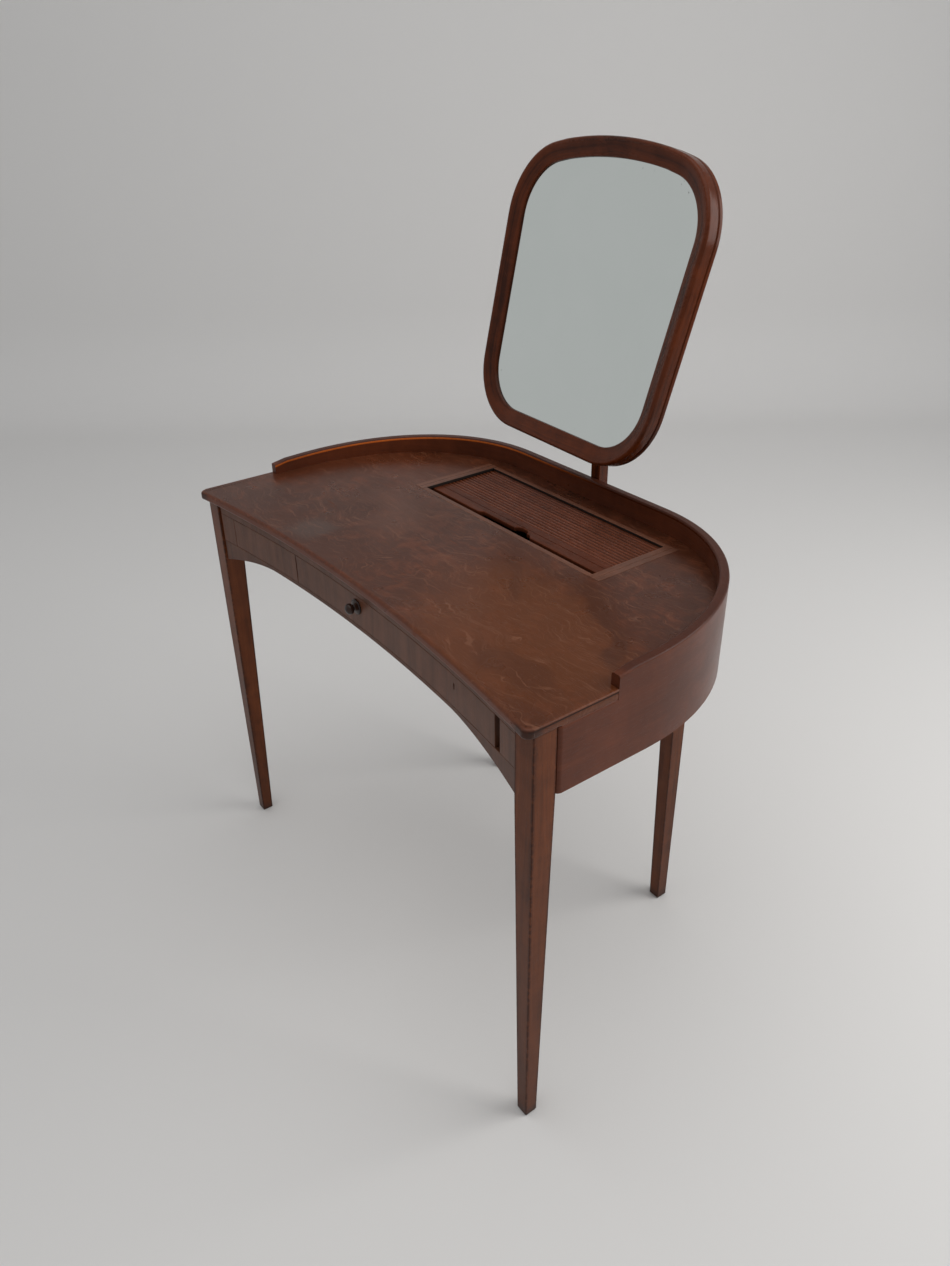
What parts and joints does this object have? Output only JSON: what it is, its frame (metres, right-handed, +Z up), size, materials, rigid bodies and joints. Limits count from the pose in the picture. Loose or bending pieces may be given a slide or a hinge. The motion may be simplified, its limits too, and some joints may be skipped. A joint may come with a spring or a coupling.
{
  "type": "dressing table",
  "caption": "Dressing table with concave front, low gallery, tambour let into the top, frieze drawer, tapering legs and a tilting, swivelling mirror on a post.",
  "frame": {"origin": "centre of the bounding box at the floor", "axes": "+Z up, +Y from the concave front towards the back, +X to the right of someone facing the front"},
  "size_m": [0.8824, 0.5418, 1.2332],
  "materials": {
    "mahogany": "satin",
    "apron_veneer": "satin",
    "lipping": "satin",
    "secondary_wood": "matt",
    "dark_knob": "polished",
    "brass": "satin",
    "steel": "satin",
    "mirror": "polished",
    "cloth": "matt"
  },
  "bodies": {
    "table": {"surround": "mahogany", "tabletop": "mahogany", "leg_front_left": "mahogany", "leg_front_right": "mahogany", "leg_back_left": "mahogany", "leg_back_right": "mahogany", "mirror_post": "mahogany", "front_rail_top": "apron_veneer", "front_rail_bottom": "apron_veneer", "front_stile_left": "apron_veneer", "front_stile_right": "apron_veneer", "lipping_front": "lipping", "lipping_back": "lipping", "tambour_track_left": "lipping", "tambour_track_right": "lipping", "rear_bearer": "secondary_wood", "runner_left": "secondary_wood", "runner_right": "secondary_wood", "corner_block_left": "secondary_wood", "corner_block_right": "secondary_wood", "well_front": "secondary_wood", "well_back": "secondary_wood", "well_bottom": "secondary_wood", "well_side_left": "secondary_wood", "well_side_right": "secondary_wood", "swivel_socket": "brass", "post_screw_low": "steel", "post_screw_high": "steel"},
    "drawer": {"drawer_front": "apron_veneer", "drawer_side_left": "secondary_wood", "drawer_side_right": "secondary_wood", "drawer_back": "secondary_wood", "drawer_bottom": "secondary_wood", "knob": "dark_knob"},
    "tambour": {"tambour_lead": "mahogany", "tambour_slat_01": "mahogany", "tambour_slat_02": "mahogany", "tambour_slat_03": "mahogany", "tambour_slat_04": "mahogany", "tambour_slat_05": "mahogany", "tambour_slat_06": "mahogany", "tambour_slat_07": "mahogany", "tambour_slat_08": "mahogany", "tambour_slat_09": "mahogany", "tambour_slat_10": "mahogany", "tambour_slat_11": "mahogany", "tambour_slat_12": "mahogany", "tambour_slat_13": "mahogany", "tambour_slat_14": "mahogany", "tambour_slat_15": "mahogany", "tambour_cloth": "cloth"},
    "swivel_head": {"swivel_head": "brass"},
    "mirror": {"mirror_frame": "mahogany", "mirror_glass": "mirror", "mirror_backboard": "secondary_wood", "hinge_bracket": "brass", "pivot_pin": "steel"}
  },
  "joints": [
    {"name": "drawer_slide", "type": "slide", "parent": "table", "child": "drawer", "axis": [0, -1, 0], "range_m": [0, 0.2]},
    {"name": "tambour_slide", "type": "slide", "parent": "table", "child": "tambour", "axis": [0, 1, 0], "range_m": [-0.0137, 0.0165]},
    {"name": "mirror_swivel", "type": "hinge", "parent": "table", "child": "swivel_head", "pos_m": [0, 0.2437, 0.99], "axis": [0, 0, 1], "range_deg": [-26.5, 33.5]},
    {"name": "mirror_tilt", "type": "hinge", "parent": "swivel_head", "child": "mirror", "pos_m": [0, 0.2437, 1.0248], "axis": [0.9982, -0.0602, 0], "range_deg": [-20, 18]}
  ]
}
